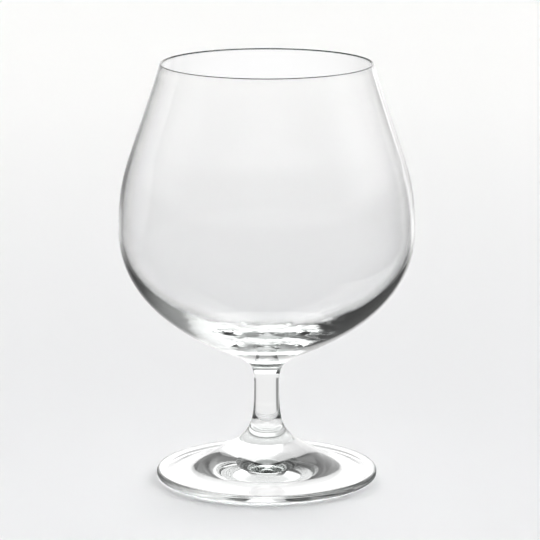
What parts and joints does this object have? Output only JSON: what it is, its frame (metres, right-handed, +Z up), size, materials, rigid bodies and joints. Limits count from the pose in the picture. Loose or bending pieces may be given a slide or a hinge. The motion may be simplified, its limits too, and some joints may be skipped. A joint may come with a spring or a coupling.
{
  "type": "balloon glass",
  "caption": "Clear stemmed balloon glass: a wide blown bowl that narrows to the rim, a short waisted stem and a round coned foot.",
  "frame": {"origin": "on the axis of the glass, at the level of the ring that the foot stands on", "axes": "+Z up along the axis of revolution, from the foot to the rim"},
  "size_m": [0.1098, 0.1098, 0.156],
  "materials": {
    "bowl_glass": "clear colourless blown glass, fire-polished",
    "stem_glass": "clear colourless drawn glass, polished",
    "foot_glass": "clear colourless spun glass, fire-polished"
  },
  "bodies": {
    "root": {"bowl": "bowl_glass", "stem": "stem_glass", "foot": "foot_glass"}
  },
  "joints": []
}
